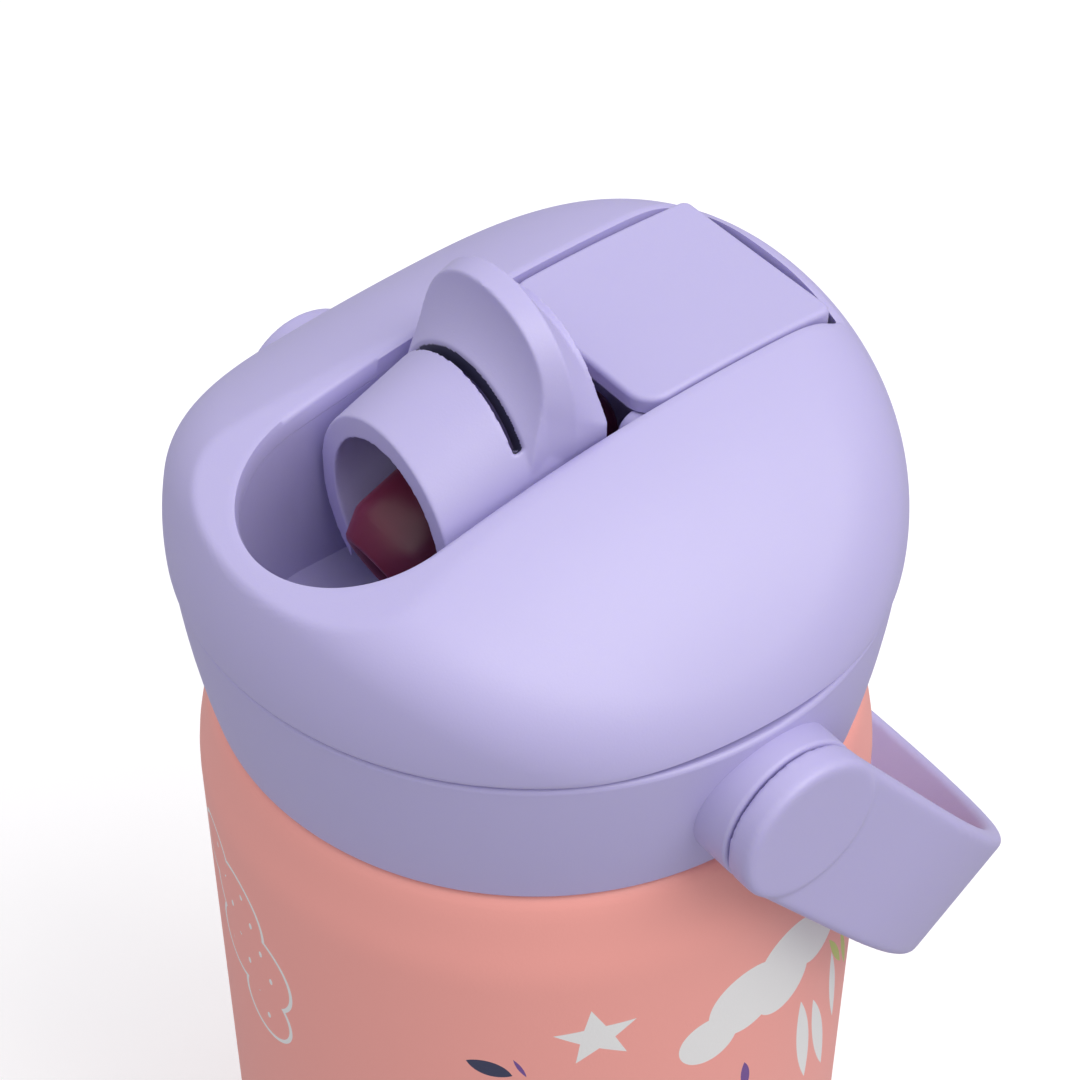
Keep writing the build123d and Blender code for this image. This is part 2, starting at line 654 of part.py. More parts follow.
strap_out = disc_face + disc_thick - disc_step
with BuildPart() as handle_bail:
    with BuildSketch(bail_plane):
        with BuildLine():
            bail_outline(strap_out, side_radius)
            bail_outline(strap_out - handle_thick, side_radius - handle_thick)
            Line((strap_out, 0), (strap_out - handle_thick, 0))
            Line((-strap_out, 0), (-strap_out + handle_thick, 0))
        make_face()
    extrude(amount=handle_half_width, both=True)
    across = Vector(0, sin(lean), cos(lean))
    fillet([e for e in handle_bail.edges()
            if abs(abs((e.center() - bail_plane.origin).dot(across)) - handle_half_width) < 0.01
            and (e.center() - bail_plane.origin).length > arm_straight / 2 + disc_face], soft_edge)
    for side in (1, -1):
        add(stub(side, boss_radius, disc_face, disc_thick, disc_round))
    for side in (1, -1):
        with BuildSketch(Plane.YZ.offset(side * disc_face)):
            with Locations((0, pivot_z)):
                Circle(pin_radius)
        extrude(amount=side * (disc_thick - disc_skin), mode=Mode.SUBTRACT)


def pivot_pin(side):
    """The stud pressed into the handle's disc, which turns in the collar's boss."""
    with BuildPart() as pin:
        with BuildSketch(Plane.YZ.offset(side * (disc_face + disc_thick - disc_skin))):
            with Locations((0, pivot_z)):
                Circle(pin_radius)
        stud_end = collar_bore + boss_floor + stud_play
        extrude(amount=-side * (disc_face + disc_thick - disc_skin - stud_end))
    return pin


pivot_pin_right = pivot_pin(1)
pivot_pin_left = pivot_pin(-1)

pieces = {
    "outer_shell": outer_shell, "inner_liner": inner_liner, "base_plate": base_plate,
    "vacuum_seal": vacuum_seal, "collar_ring": collar_ring, "dome_cover": dome_cover,
    "spout_well": spout_well, "rear_panel": rear_panel, "lid_gasket": lid_gasket,
    "vent_valve": vent_valve, "straw": straw, "straw_joiner": straw_joiner,
    "hinge_pin_left": hinge_pin_left, "hinge_pin_right": hinge_pin_right,
    "mouthpiece_neck": mouthpiece_neck, "flip_spout": flip_spout, "mouthpiece": mouthpiece,
    "handle_bail": handle_bail, "pivot_pin_left": pivot_pin_left, "pivot_pin_right": pivot_pin_right,
}
os.makedirs("parts", exist_ok=True)
for name, piece in pieces.items():
    piece.part.label = name
    export_step(piece.part, f"parts/{name}.step")
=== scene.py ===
"""Kids insulated water bottle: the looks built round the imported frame, in metres, one section per piece."""
import math

import bmesh
import bpy
import numpy as np
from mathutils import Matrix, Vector


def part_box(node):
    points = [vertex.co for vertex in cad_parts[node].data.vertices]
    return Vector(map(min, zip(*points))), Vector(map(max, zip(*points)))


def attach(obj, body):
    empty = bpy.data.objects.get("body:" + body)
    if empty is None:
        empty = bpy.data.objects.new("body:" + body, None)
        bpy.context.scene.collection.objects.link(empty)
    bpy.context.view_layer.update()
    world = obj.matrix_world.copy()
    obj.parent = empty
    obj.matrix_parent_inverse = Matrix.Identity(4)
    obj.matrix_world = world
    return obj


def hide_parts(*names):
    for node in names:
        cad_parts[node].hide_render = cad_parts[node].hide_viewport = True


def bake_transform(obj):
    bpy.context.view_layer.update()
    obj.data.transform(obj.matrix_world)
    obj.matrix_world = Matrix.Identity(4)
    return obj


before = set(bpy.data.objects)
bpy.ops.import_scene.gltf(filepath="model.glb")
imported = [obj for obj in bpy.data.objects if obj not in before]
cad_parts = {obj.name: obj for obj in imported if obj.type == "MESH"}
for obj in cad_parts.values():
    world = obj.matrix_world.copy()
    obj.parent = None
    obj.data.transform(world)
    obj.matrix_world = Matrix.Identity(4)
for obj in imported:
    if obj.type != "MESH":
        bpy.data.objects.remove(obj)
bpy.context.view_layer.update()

mm = 0.001
tau = 2 * math.pi

# ---------------------------------------------------------------- steel bottle, outer wall
# A wall of 0.8 mm stainless sheet, drawn in one piece, spun in to a soft shoulder under the lid. It is powder
# coated matte coral, screen printed with stars, clouds and leaves, and left bare round the threaded neck.
shell_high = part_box("outer_shell")[1]
collar_low, collar_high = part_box("collar_ring")
body_radius = shell_high.x / mm
body_top = collar_low.z / mm
lip_low = shell_high.z / mm
neck_radius = 31.2
sheet = 0.8


def arc(centre, radius, first, last, steps):
    """Points along an arc in the half-section, angles in degrees."""
    turns = np.radians(np.linspace(first, last, steps))
    return [(centre[0] + radius * math.cos(t), centre[1] + radius * math.sin(t)) for t in turns]


def new_piece(name, vertices, faces, body, slot, material, smooth=35):
    """A mesh object from points in millimetres, shaded smooth but for edges sharper than the angle given."""
    mesh = bpy.data.meshes.new(name)
    mesh.from_pydata([tuple(float(c) * mm for c in v) for v in vertices], [], faces)
    mesh.validate()
    shape = bmesh.new()
    shape.from_mesh(mesh)
    bmesh.ops.recalc_face_normals(shape, faces=shape.faces)
    shape.to_mesh(mesh)
    shape.free()
    mesh.shade_smooth()
    mesh.set_sharp_from_angle(angle=math.radians(smooth))
    piece = bpy.data.objects.new(name, mesh)
    bpy.context.scene.collection.objects.link(piece)
    mesh.materials.append(material)
    if body:
        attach(piece, body)
    return piece


def lathe(profile, steps=192, centre=(0.0, 0.0)):
    """The closed half-section turned round an upright axis, as (vertices, faces)."""
    count = len(profile)
    vertices = [(centre[0] + r * math.cos(tau * k / steps), centre[1] + r * math.sin(tau * k / steps), z)
                for k in range(steps) for r, z in profile]
    faces = [(k * count + i, ((k + 1) % steps) * count + i, ((k + 1) % steps) * count + (i + 1) % count,
              k * count + (i + 1) % count) for k in range(steps) for i in range(count)]
    return vertices, faces


def joined(*parts):
    """Several (vertices, faces) pairs as one."""
    vertices, faces = [], []
    for more, rings in parts:
        start = len(vertices)
        vertices += list(more)
        faces += [tuple(start + i for i in ring) for ring in rings]
    return vertices, faces


def lug(inner, outer, low, high, middle, sweep, steps=24):
    """A thread lug: a curved block whose ends taper into the wall."""
    vertices, faces = [], []
    for k in range(steps + 1):
        share = k / steps
        turn = math.radians(middle + sweep * (share - 0.5))
        reach = inner + (outer - inner) * min(1.0, 6 * share, 6 * (1 - share))
        for r, z in ((inner, low), (reach, low + 0.35), (reach, high - 0.35), (inner, high)):
            vertices.append((r * math.cos(turn), r * math.sin(turn), z))
    for k in range(steps):
        for i in range(4):
            a, b = 4 * k + i, 4 * k + (i + 1) % 4
            faces.append((a, b, b + 4, a + 4))
    return vertices, faces + [(0, 1, 2, 3), tuple(4 * steps + i for i in (3, 2, 1, 0))]


def add_node(tree, kind, inputs=None, **settings):
    """A shader node; each input is a value or another node's output."""
    made = tree.nodes.new(kind)
    for key, value in settings.items():
        setattr(made, key, value)
    for key, value in (inputs or {}).items():
        if isinstance(value, bpy.types.NodeSocket):
            tree.links.new(value, made.inputs[key])
        else:
            made.inputs[key].default_value = value
    return made


def sums(tree, operation, *values):
    """A math node's output."""
    return add_node(tree, "ShaderNodeMath", dict(enumerate(values)), operation=operation).outputs[0]


def painted(tree, mask, under, over):
    """The colour over where the mask is 1, and under elsewhere."""
    mix = add_node(tree, "ShaderNodeMix", {0: mask, 6: under, 7: over}, data_type="RGBA")
    return mix.outputs[2]


def new_group(name, inputs, outputs):
    """An empty node group with named float inputs and outputs."""
    tree = bpy.data.node_groups.new(name, "ShaderNodeTree")
    for label, value in inputs.items():
        socket = tree.interface.new_socket(label, in_out="INPUT", socket_type="NodeSocketFloat")
        socket.default_value = value
    for label in outputs:
        tree.interface.new_socket(label, in_out="OUTPUT", socket_type="NodeSocketFloat")
    return tree, tree.nodes.new("NodeGroupInput"), tree.nodes.new("NodeGroupOutput")


def use_group(tree, group, **inputs):
    """A node group placed in a material."""
    made = tree.nodes.new("ShaderNodeGroup")
    made.node_tree = group
    for label, value in inputs.items():
        if isinstance(value, bpy.types.NodeSocket):
            tree.links.new(value, made.inputs[label])
        else:
            made.inputs[label].default_value = value
    return made


def grain_group():
    """Fine relief and faint unevenness of a moulded or coated surface. Cell is the grain's size in mm."""
    tree, source, sink = new_group("surface_grain", {"Cell": 0.4}, ["Height", "Patches"])
    place = add_node(tree, "ShaderNodeTexCoord")
    scale = sums(tree, "DIVIDE", 1000.0, source.outputs["Cell"])
    fine = add_node(tree, "ShaderNodeTexNoise", {"Vector": place.outputs["Object"], "Scale": scale,
                                                 "Detail": 3.0, "Roughness": 0.55})
    coarse = add_node(tree, "ShaderNodeTexNoise", {"Vector": place.outputs["Object"], "Scale": 45.0,
                                                   "Detail": 2.0})
    tree.links.new(fine.outputs["Fac"], sink.inputs["Height"])
    tree.links.new(coarse.outputs["Fac"], sink.inputs["Patches"])
    return tree


surface_grain = grain_group()


def new_material(name, colour):
    """A material's node tree with its Principled shader."""
    material = bpy.data.materials.new(name)
    material.use_nodes = True
    material.diffuse_color = (*colour, 1.0)
    tree = material.node_tree
    return material, tree, tree.nodes["Principled BSDF"]


def grained(tree, shader, cell, relief, roughness, spread):
    """Adds the grain's relief and uneven gloss to a shader, and gives the slow patches back."""
    grain = use_group(tree, surface_grain, Cell=cell)
    bump = add_node(tree, "ShaderNodeBump", {"Height": grain.outputs["Height"], "Strength": 1.0,
                                             "Distance": relief * mm})
    tree.links.new(bump.outputs["Normal"], shader.inputs["Normal"])
    swing = sums(tree, "MULTIPLY_ADD", grain.outputs["Patches"], spread, roughness - spread / 2)
    tree.links.new(swing, shader.inputs["Roughness"])
    return grain.outputs["Patches"]


def place_group():
    """Turns the wall's unrolled place (U round it, V up it, in mm) into a print's own P and Q."""
    tree, source, sink = new_group("print_place", {"U": 0, "V": 0, "At U": 0, "At V": 0, "Size": 10,
                                                   "Turn": 0}, ["P", "Q"])
    u = sums(tree, "DIVIDE", sums(tree, "SUBTRACT", source.outputs["U"], source.outputs["At U"]),
             source.outputs["Size"])
    v = sums(tree, "DIVIDE", sums(tree, "SUBTRACT", source.outputs["V"], source.outputs["At V"]),
             source.outputs["Size"])
    cos = sums(tree, "COSINE", source.outputs["Turn"])
    sin = sums(tree, "SINE", source.outputs["Turn"])
    p = sums(tree, "ADD", sums(tree, "MULTIPLY", u, cos), sums(tree, "MULTIPLY", v, sin))
    q = sums(tree, "SUBTRACT", sums(tree, "MULTIPLY", v, cos), sums(tree, "MULTIPLY", u, sin))
    tree.links.new(p, sink.inputs["P"])
    tree.links.new(q, sink.inputs["Q"])
    return tree


def disc_distance(tree, p, q, centre, radius):
    """Distance outside a disc."""
    dp, dq = sums(tree, "SUBTRACT", p, centre[0]), sums(tree, "SUBTRACT", q, centre[1])
    squared = sums(tree, "ADD", sums(tree, "MULTIPLY", dp, dp), sums(tree, "MULTIPLY", dq, dq))
    return sums(tree, "SUBTRACT", sums(tree, "SQRT", squared), radius)


def cloud_group():
    """Distance outside a puffy cloud: overlapping discs on a level foot."""
    tree, source, sink = new_group("cloud_print", {"P": 0, "Q": 0}, ["Distance"])
    p, q = source.outputs["P"], source.outputs["Q"]
    puffs = [((-0.72, -0.12), 0.30), ((-0.28, 0.12), 0.42), ((0.25, 0.22), 0.40), ((0.70, 0.02), 0.32),
             ((0.15, -0.12), 0.34)]
    distance = disc_distance(tree, p, q, *puffs[0])
    for puff in puffs[1:]:
        distance = sums(tree, "MINIMUM", distance, disc_distance(tree, p, q, *puff))
    tree.links.new(distance, sink.inputs["Distance"])
    return tree


def star_group():
    """1 inside a plain five-pointed star of unit size."""
    tree, source, sink = new_group("star_print", {"P": 0, "Q": 0}, ["Mask"])
    p, q = source.outputs["P"], source.outputs["Q"]
    reach = sums(tree, "SQRT", sums(tree, "ADD", sums(tree, "MULTIPLY", p, p), sums(tree, "MULTIPLY", q, q)))
    folded = sums(tree, "PINGPONG", sums(tree, "ARCTAN2", p, q), math.pi / 5)
    inner = 0.42
    other = sums(tree, "SINE", sums(tree, "SUBTRACT", math.pi / 5, folded))
    bottom = sums(tree, "ADD", sums(tree, "SINE", folded), sums(tree, "MULTIPLY", other, inner))
    edge = sums(tree, "DIVIDE", inner * math.sin(math.pi / 5), bottom)
    tree.links.new(sums(tree, "LESS_THAN", reach, edge), sink.inputs["Mask"])
    return tree


def leaf_group():
    """Distance outside a pointed leaf of unit length, standing along Q."""
    tree, source, sink = new_group("leaf_print", {"P": 0, "Q": 0, "Slim": 0.6}, ["Distance"])
    p, q, slim = source.outputs["P"], source.outputs["Q"], source.outputs["Slim"]
    side = sums(tree, "ABSOLUTE", p)
    shifted = sums(tree, "ADD", side, slim)
    reach = sums(tree, "SQRT", sums(tree, "ADD", sums(tree, "MULTIPLY", shifted, shifted),
                                    sums(tree, "MULTIPLY", q, q)))
    bow = sums(tree, "SQRT", sums(tree, "ADD", sums(tree, "MULTIPLY", slim, slim), 1.0))
    tree.links.new(sums(tree, "SUBTRACT", reach, bow), sink.inputs["Distance"])
    return tree


print_place, cloud_print, star_print, leaf_print = place_group(), cloud_group(), star_group(), leaf_group()
# Each print is its angle round the wall, its height in mm, its size in mm and its tilt in degrees. Leaves,
# stems, strokes and blades end with their slimness.
coral = (0.96, 0.395, 0.345)
ink_white, ink_navy = (0.86, 0.85, 0.84, 1.0), (0.022, 0.028, 0.085, 1.0)
ink_purple, ink_green = (0.17, 0.065, 0.30, 1.0), (0.55, 0.62, 0.12, 1.0)
filled_clouds = [(95, 107.5, 12.0, 8), (214, 91, 11, -4), (322, 44, 13, 5), (62, 38, 12, -6), (150, 60, 9, 6)]
drawn_clouds = [(-8.5, 105.5, 13.5, -62), (168, 106, 10, 5), (262, 52, 12, -4), (20, 56, 11, 6),
                (112, 24, 12, 0)]
stars = [(62, 111.3, 4.6, 8), (136, 84, 3.6, -14), (196, 63, 4.6, 10), (250, 101, 4.2, -8),
         (292, 82, 3.4, 18),
         (330, 66, 4.0, -10), (40, 78, 3.4, 14), (84, 62, 4.4, -6), (232, 24, 4.2, 8), (350, 22, 3.6, -12)]
leaves = [(44.6, 106.2, 2.6, 68, 0.9), (52.5, 101.5, 3.2, -40, 0.9),
          (275, 99, 4.4, 40, 0.9), (12, 30, 4.4, -36, 0.9),
          (170, 36, 4.6, 24, 0.9), (300, 20, 4.2, -60, 0.9)]
stems = [(49.6, 106.6, 1.6, 25, 3.0), (90.3, 94.5, 2.6, 6, 2.0), (283, 92, 4.0, 30, 5.0),
         (176, 28, 4.0, -30, 5.0), (305, 27, 4.0, 20, 5.0)]
strokes = [(106, 91, 8.5, 9, 3.4), (112, 88, 9.0, 15, 3.8), (117, 93, 8.0, 12, 4.6), (228, 74, 8.0, -12, 4.2),
           (234, 72, 8.5, -6, 4.6), (304, 104, 6.5, 20, 4.0)]
blades = [(116.5, 99.5, 5.5, 28, 5.0), (122, 96, 6.0, 22, 5.0), (238, 82, 5.0, -20, 5.0)]


def coat_material():
    """Coral powder coat with flat inks printed over it."""
    material, tree, shader = new_material("coral_powder_coat", coral)
    patches = grained(tree, shader, cell=0.35, relief=0.02, roughness=0.46, spread=0.05)
    place = add_node(tree, "ShaderNodeTexCoord")
    parts = add_node(tree, "ShaderNodeSeparateXYZ", {0: place.outputs["Object"]})
    turn = sums(tree, "ARCTAN2", parts.outputs["X"], sums(tree, "MULTIPLY", parts.outputs["Y"], -1.0))
    v = sums(tree, "MULTIPLY", parts.outputs["Z"], 1000.0)
    wrapped = tau * body_radius
    rounds = {}
    for seam in (0, 180):
        shifted = sums(tree, "FLOORED_MODULO", sums(tree, "ADD", turn, tau - math.radians(seam)), tau)
        rounds[seam] = sums(tree, "MULTIPLY", shifted, body_radius)

    def place_print(angle, height, size, tilt):
        """P and Q for a print whose middle is well away from the seam it is measured from."""
        angle %= 360
        seam = 0 if 90 <= angle <= 270 else 180
        at = math.radians((angle - seam) % 360) * body_radius % wrapped
        spot = use_group(tree, print_place, **{"U": rounds[seam], "V": v, "At U": at, "At V": float(height),
                                               "Size": float(size), "Turn": math.radians(tilt)})
        return spot.outputs["P"], spot.outputs["Q"]

    def any_of(masks):
        found = masks[0]
        for mask in masks[1:]:
            found = sums(tree, "MAXIMUM", found, mask)
        return found

    def cloud_distance(spot):
        p, q = place_print(*spot)
        return use_group(tree, cloud_print, P=p, Q=q).outputs["Distance"], p, q

    def leaf_mask(spot):
        *where, slim = spot
        p, q = place_print(*where)
        distance = use_group(tree, leaf_print, P=p, Q=q, Slim=slim).outputs["Distance"]
        return sums(tree, "LESS_THAN", distance, 0.0)

    white = []
    for spot in filled_clouds:
        distance, p, q = cloud_distance(spot)
        white.append(sums(tree, "LESS_THAN", distance, 0.0))
    for spot in drawn_clouds:
        distance, p, q = cloud_distance(spot)
        line = sums(tree, "LESS_THAN", sums(tree, "ABSOLUTE", distance), 0.26 / spot[2])
        inside = sums(tree, "LESS_THAN", distance, -0.16)
        fold_p = sums(tree, "PINGPONG", sums(tree, "ADD", p, sums(tree, "MULTIPLY", q, 0.5)), 0.13)
        fold_q = sums(tree, "PINGPONG", q, 0.16)
        dot = sums(tree, "LESS_THAN", sums(tree, "ADD", sums(tree, "MULTIPLY", fold_p, fold_p),
                                           sums(tree, "MULTIPLY", fold_q, fold_q)), 0.0008)
        edge = sums(tree, "GREATER_THAN", distance, -0.34)
        white += [line, sums(tree, "MULTIPLY", sums(tree, "MULTIPLY", inside, edge), dot)]
    for spot in stars:
        p, q = place_print(*spot)
        white.append(use_group(tree, star_print, P=p, Q=q).outputs["Mask"])
    white += [leaf_mask(spot) for spot in strokes]
    colour = painted(tree, sums(tree, "MULTIPLY_ADD", patches, 0.5, 0.0), (*coral, 1.0),
                     (coral[0] * 0.97, coral[1] * 0.94, coral[2] * 0.93, 1.0))
    colour = painted(tree, any_of(white), colour, ink_white)
    colour = painted(tree, any_of([leaf_mask(spot) for spot in blades]), colour, ink_green)
    colour = painted(tree, any_of([leaf_mask(spot) for spot in leaves]), colour, ink_navy)
    colour = painted(tree, any_of([leaf_mask(spot) for spot in stems]), colour, ink_purple)
    tree.links.new(colour, shader.inputs["Base Color"])
    shader.inputs["Specular IOR Level"].default_value = 0.6
    return material


def steel_material(name, colour, roughness, streak):
    """Bare stainless steel with fine spun lines running round the axis; streak is their spacing in mm."""
    material, tree, shader = new_material(name, colour)
    place = add_node(tree, "ShaderNodeTexCoord")
    parts = add_node(tree, "ShaderNodeSeparateXYZ", {0: place.outputs["Object"]})
    turn = sums(tree, "ARCTAN2", parts.outputs["X"], parts.outputs["Y"])
    across, along = parts.outputs["X"], parts.outputs["Y"]
    reach = sums(tree, "SQRT", sums(tree, "ADD", sums(tree, "MULTIPLY", across, across),
                                    sums(tree, "MULTIPLY", along, along)))
    lines = add_node(tree, "ShaderNodeCombineXYZ", {
        "X": sums(tree, "MULTIPLY", turn, 0.8), "Y": sums(tree, "MULTIPLY", reach, 1000 / streak),
        "Z": sums(tree, "MULTIPLY", parts.outputs["Z"], 1000 / streak)})
    noise = add_node(tree, "ShaderNodeTexNoise", {"Vector": lines.outputs[0], "Scale": 1.0, "Detail": 3.0})
    bump = add_node(tree, "ShaderNodeBump", {"Height": noise.outputs["Fac"], "Strength": 1.0,
                                             "Distance": 0.012 * mm})
    tree.links.new(bump.outputs["Normal"], shader.inputs["Normal"])
    tree.links.new(sums(tree, "MULTIPLY_ADD", noise.outputs["Fac"], 0.16, roughness - 0.08),
                   shader.inputs["Roughness"])
    darker = tuple(0.86 * c for c in colour)
    tone = painted(tree, noise.outputs["Fac"], (*colour, 1.0), (*darker, 1.0))
    tree.links.new(tone, shader.inputs["Base Color"])
    shader.inputs["Metallic"].default_value = 1.0
    return material


coral_coat = coat_material()
bare_steel = steel_material("spun_steel", (0.66, 0.65, 0.63), 0.3, 0.25)

foot_corner, foot_ring = 4.0, 2.0
foot_radius = body_radius - foot_corner
shoulder = [(36.5, body_top - 13.0), (36.44, body_top - 11.4), (36.27, body_top - 9.8),
            (36.02, body_top - 8.4),
            (35.75, body_top - 7.0), (35.5, body_top - 5.4), (35.22, body_top - 3.6), (34.9, body_top - 1.9),
            (34.45, body_top - 0.9), (33.8, body_top - 0.45), (33.0, body_top - 0.4),
            (neck_radius + 0.6, body_top - 0.4)]
outside = ([(foot_radius - foot_ring, sheet), (foot_radius - foot_ring, 0.25),
            (foot_radius - foot_ring + 0.25, 0.0), (foot_radius, 0.0)]
           + arc((foot_radius, foot_corner), foot_corner, -85, 0, 14)
           + [(body_radius, foot_corner + 0.2), (body_radius, 30.0), (body_radius, 60.0), (body_radius, 90.0)]
           + shoulder
           + arc((neck_radius + 0.6, body_top + 0.2), 0.6, 270, 180, 6)
           + [(neck_radius, lip_low - 0.2), (neck_radius - 0.2, lip_low), (neck_radius - sheet, lip_low)])
inside = [(neck_radius - sheet, body_top - 1.4), (neck_radius + 1.5, body_top - 1.6),
          (body_radius - 3.2, body_top - 2.6), (body_radius - sheet, body_top - 13.0),
          (body_radius - sheet, foot_corner), (foot_radius, sheet)]
neck_lugs = [lug(neck_radius - 0.3, neck_radius + sheet, body_top + 5.0, body_top + 7.0, 30 + 120 * k, 44)
             for k in range(3)]
bottle_wall = new_piece("bottle_wall", *joined(lathe(outside + inside, 256), *neck_lugs), "bottle",
                        "shell_coat", coral_coat)
bottle_wall.data.materials.append(bare_steel)
for face in bottle_wall.data.polygons:
    centre = face.center / mm
    inward = face.normal.x * centre.x + face.normal.y * centre.y < 0 and centre.z > foot_corner
    if centre.z > body_top + 0.3 or inward:
        face.material_index = 1
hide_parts("outer_shell")

# ---------------------------------------------------------------- steel bottle, inside and base
# The liner is a second can of bare stainless steel, rolled over the outer wall's lip and welded there. A
# pressed plate closes the foot, and a small disc over the hole in its middle seals the vacuum.
brushed_base = steel_material("brushed_base_steel", (0.6, 0.59, 0.575), 0.36, 0.4)
for name, finish in (("inner_liner", bare_steel), ("base_plate", brushed_base),
                     ("vacuum_seal", brushed_base)):
    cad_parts[name].data.materials.clear()
    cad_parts[name].data.materials.append(finish)

# ---------------------------------------------------------------- lid collar, well and rear panel
# Satin lavender polypropylene. The collar screws on to the neck and carries the handle's two bosses; the
# plate with the spout's well drops into it, and the rear panel closes the well behind the spout.
lavender = (0.48, 0.435, 0.735)


def plastic_material(name, colour, roughness=0.48):
    """Injection-moulded satin plastic: even colour, a fine spark-eroded grain and slight sheen."""
    material, tree, shader = new_material(name, colour)
    patches = grained(tree, shader, cell=0.22, relief=0.012, roughness=roughness, spread=0.06)
    deeper = tuple(c * 0.965 for c in colour)
    tree.links.new(painted(tree, patches, (*colour, 1.0), (*deeper, 1.0)), shader.inputs["Base Color"])
    shader.inputs["Specular IOR Level"].default_value = 0.95
    shader.inputs["Subsurface Weight"].default_value = 0.12
    shader.inputs["Subsurface Radius"].default_value = (0.4, 0.35, 1.0)
    shader.inputs["Subsurface Scale"].default_value = 1.2 * mm
    return material


lid_plastic = plastic_material("lavender_plastic", lavender)
for name in ("collar_ring", "spout_well", "rear_panel", "pivot_pin_left", "pivot_pin_right"):
    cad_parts[name].data.materials.clear()
    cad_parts[name].data.materials.append(lid_plastic)

# ---------------------------------------------------------------- lid dome
# The moulded cover over the collar: a steep round wall, a long crown that rises to the back, and a level band
# round the slot that the spout lies in. Its underside is hollow and a spigot centres it in the collar.
seam = 0.5
dome_z = collar_high.z / mm + seam
collar_z = body_top
dome_wall = 2.2
rim_radius = 37.3
wall_mid, wall_top = (35.6, 11.0), (25.5, 23.2)
crown_h, crown_y, crown_long, crown_cross = 40.6, 20.0, 238.0, 44.78
band_h, band_y, band_radius = 39.0, 18.9, 183.0
slot_half, slot_front, slot_rear = 11.75, 32.5, 28.8
slot_corner = 0.8
shoulder_blend, band_blend, rim_blend, slot_blend = 3.4, 0.25, 0.6, 0.7


def circle_through(a, b, c):
    """Centre and radius of the circle through three points."""
    (ax, ay), (bx, by), (cx, cy) = a, b, c
    d = 2 * (ax * (by - cy) + bx * (cy - ay) + cx * (ay - by))
    aa, bb, cc = ax ** 2 + ay ** 2, bx ** 2 + by ** 2, cx ** 2 + cy ** 2
    x = (aa * (by - cy) + bb * (cy - ay) + cc * (ay - by)) / d
    y = (aa * (cx - bx) + bb * (ax - cx) + cc * (bx - ax)) / d
    return (x, y), math.hypot(ax - x, ay - y)


def meeting(a, b, blend):
    """The inside common to two shapes, given by distance, with a rounded edge between them."""
    near = np.maximum(blend - np.abs(a - b), 0) / blend
    return np.maximum(a, b) + near * near * blend / 4


wall_centre, wall_radius = circle_through((rim_radius, 0.0), wall_mid, wall_top)


def dome_skin(x, y, z):
    """Distance outside the dome's outer form, without its slot."""
    wall = np.hypot(np.hypot(x, y) - wall_centre[0], z - dome_z - wall_centre[1]) - wall_radius
    line_z = collar_z + crown_h - crown_long
    round_y = np.hypot(y - crown_y, z - line_z) - (crown_long - crown_cross)
    crown = np.hypot(round_y, x) - crown_cross
    band = np.hypot(y - band_y, z - (collar_z + band_h - band_radius)) - band_radius
    return meeting(meeting(wall, crown, shoulder_blend), band, band_blend)


def slot_distance(x, y):
    """Distance outside the slot's outline: half-round in front, square at the rear with small corners."""
    front = np.hypot(x, y - (slot_half - slot_front)) - slot_half
    side, back = np.abs(x) - slot_half, y - slot_rear
    past_side, past_back = np.maximum(side + slot_corner, 0), np.maximum(back + slot_corner, 0)
    square = np.where((side > -slot_corner) & (back > -slot_corner),
                      np.hypot(past_side, past_back) - slot_corner, np.maximum(side, back))
    return np.where(y < slot_half - slot_front, front, square)


def slot_loop(steps):
    """Points round the slot's outline and the way out from each, spaced evenly."""
    places, ways = [], []
    front_y = slot_half - slot_front
    corner_x, corner_y = slot_half - slot_corner, slot_rear - slot_corner
    for t in np.linspace(0, 1, steps, endpoint=False):
        places.append((slot_half, front_y + t * (corner_y - front_y)))
        ways.append((1.0, 0.0))
    for t in np.linspace(0, math.pi / 2, steps // 3, endpoint=False):
        ways.append((math.cos(t), math.sin(t)))
        places.append((corner_x + slot_corner * math.cos(t), corner_y + slot_corner * math.sin(t)))
    for t in np.linspace(corner_x, -corner_x, steps // 3, endpoint=False):
        places.append((t, slot_rear))
        ways.append((0.0, 1.0))
    for t in np.linspace(math.pi / 2, math.pi, steps // 3, endpoint=False):
        ways.append((math.cos(t), math.sin(t)))
        places.append((-corner_x + slot_corner * math.cos(t), corner_y + slot_corner * math.sin(t)))
    for t in np.linspace(0, 1, steps, endpoint=False):
        places.append((-slot_half, corner_y + t * (front_y - corner_y)))
        ways.append((-1.0, 0.0))
    for t in np.linspace(math.pi, 2 * math.pi, int(1.2 * steps), endpoint=False):
        places.append((slot_half * math.cos(t), front_y + slot_half * math.sin(t)))
        ways.append((math.cos(t), math.sin(t)))
    return np.array(places), np.array(ways)


def reach_of(form, starts, ways, far):
    """How far each ray from inside the form goes before it comes out, by halving."""
    near, beyond = np.zeros(len(starts)), np.full(len(starts), far)
    for _ in range(36):
        middle = (near + beyond) / 2
        x, y, z = (starts + ways * middle[:, None]).T
        out = form(x, y, z) > 0
        beyond = np.where(out, middle, beyond)
        near = np.where(out, near, middle)
    return (near + beyond) / 2


